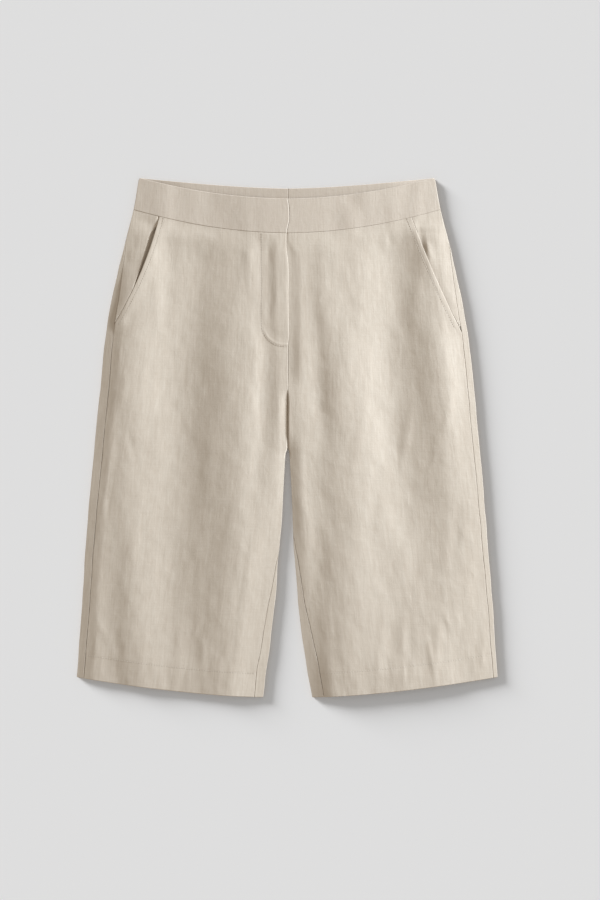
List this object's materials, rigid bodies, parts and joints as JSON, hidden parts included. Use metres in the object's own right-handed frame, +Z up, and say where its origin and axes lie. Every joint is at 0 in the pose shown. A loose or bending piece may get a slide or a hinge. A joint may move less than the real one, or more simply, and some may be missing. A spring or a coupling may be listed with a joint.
{
  "type": "bermuda shorts",
  "caption": "Knee-length linen shorts laid flat, front up: straight legs, lapped fly with J stitching, slanted hip pockets and a plain shaped waistband.",
  "frame": {"origin": "middle of the outline seen from above, on the surface that the shorts lie on", "axes": "+X towards the wearer's left side, +Y from the hems to the waist, +Z up, out of the front of the shorts"},
  "size_m": [0.5122, 0.633, 0.0076],
  "materials": {
    "linen": "plain-woven sand linen, soft and slightly slubby, matt",
    "linen_band": "the same linen, doubled and stiffened, matt",
    "thread": "matching sewing thread, matt"
  },
  "bodies": {
    "root": {"front_right": "linen", "front_left": "linen", "back_right": "linen", "back_left": "linen", "pocket_side_right": "linen", "pocket_side_left": "linen", "waistband_front_right": "linen_band", "waistband_front_left": "linen_band", "waistband_back_right": "linen_band", "waistband_back_left": "linen_band"}
  },
  "joints": []
}
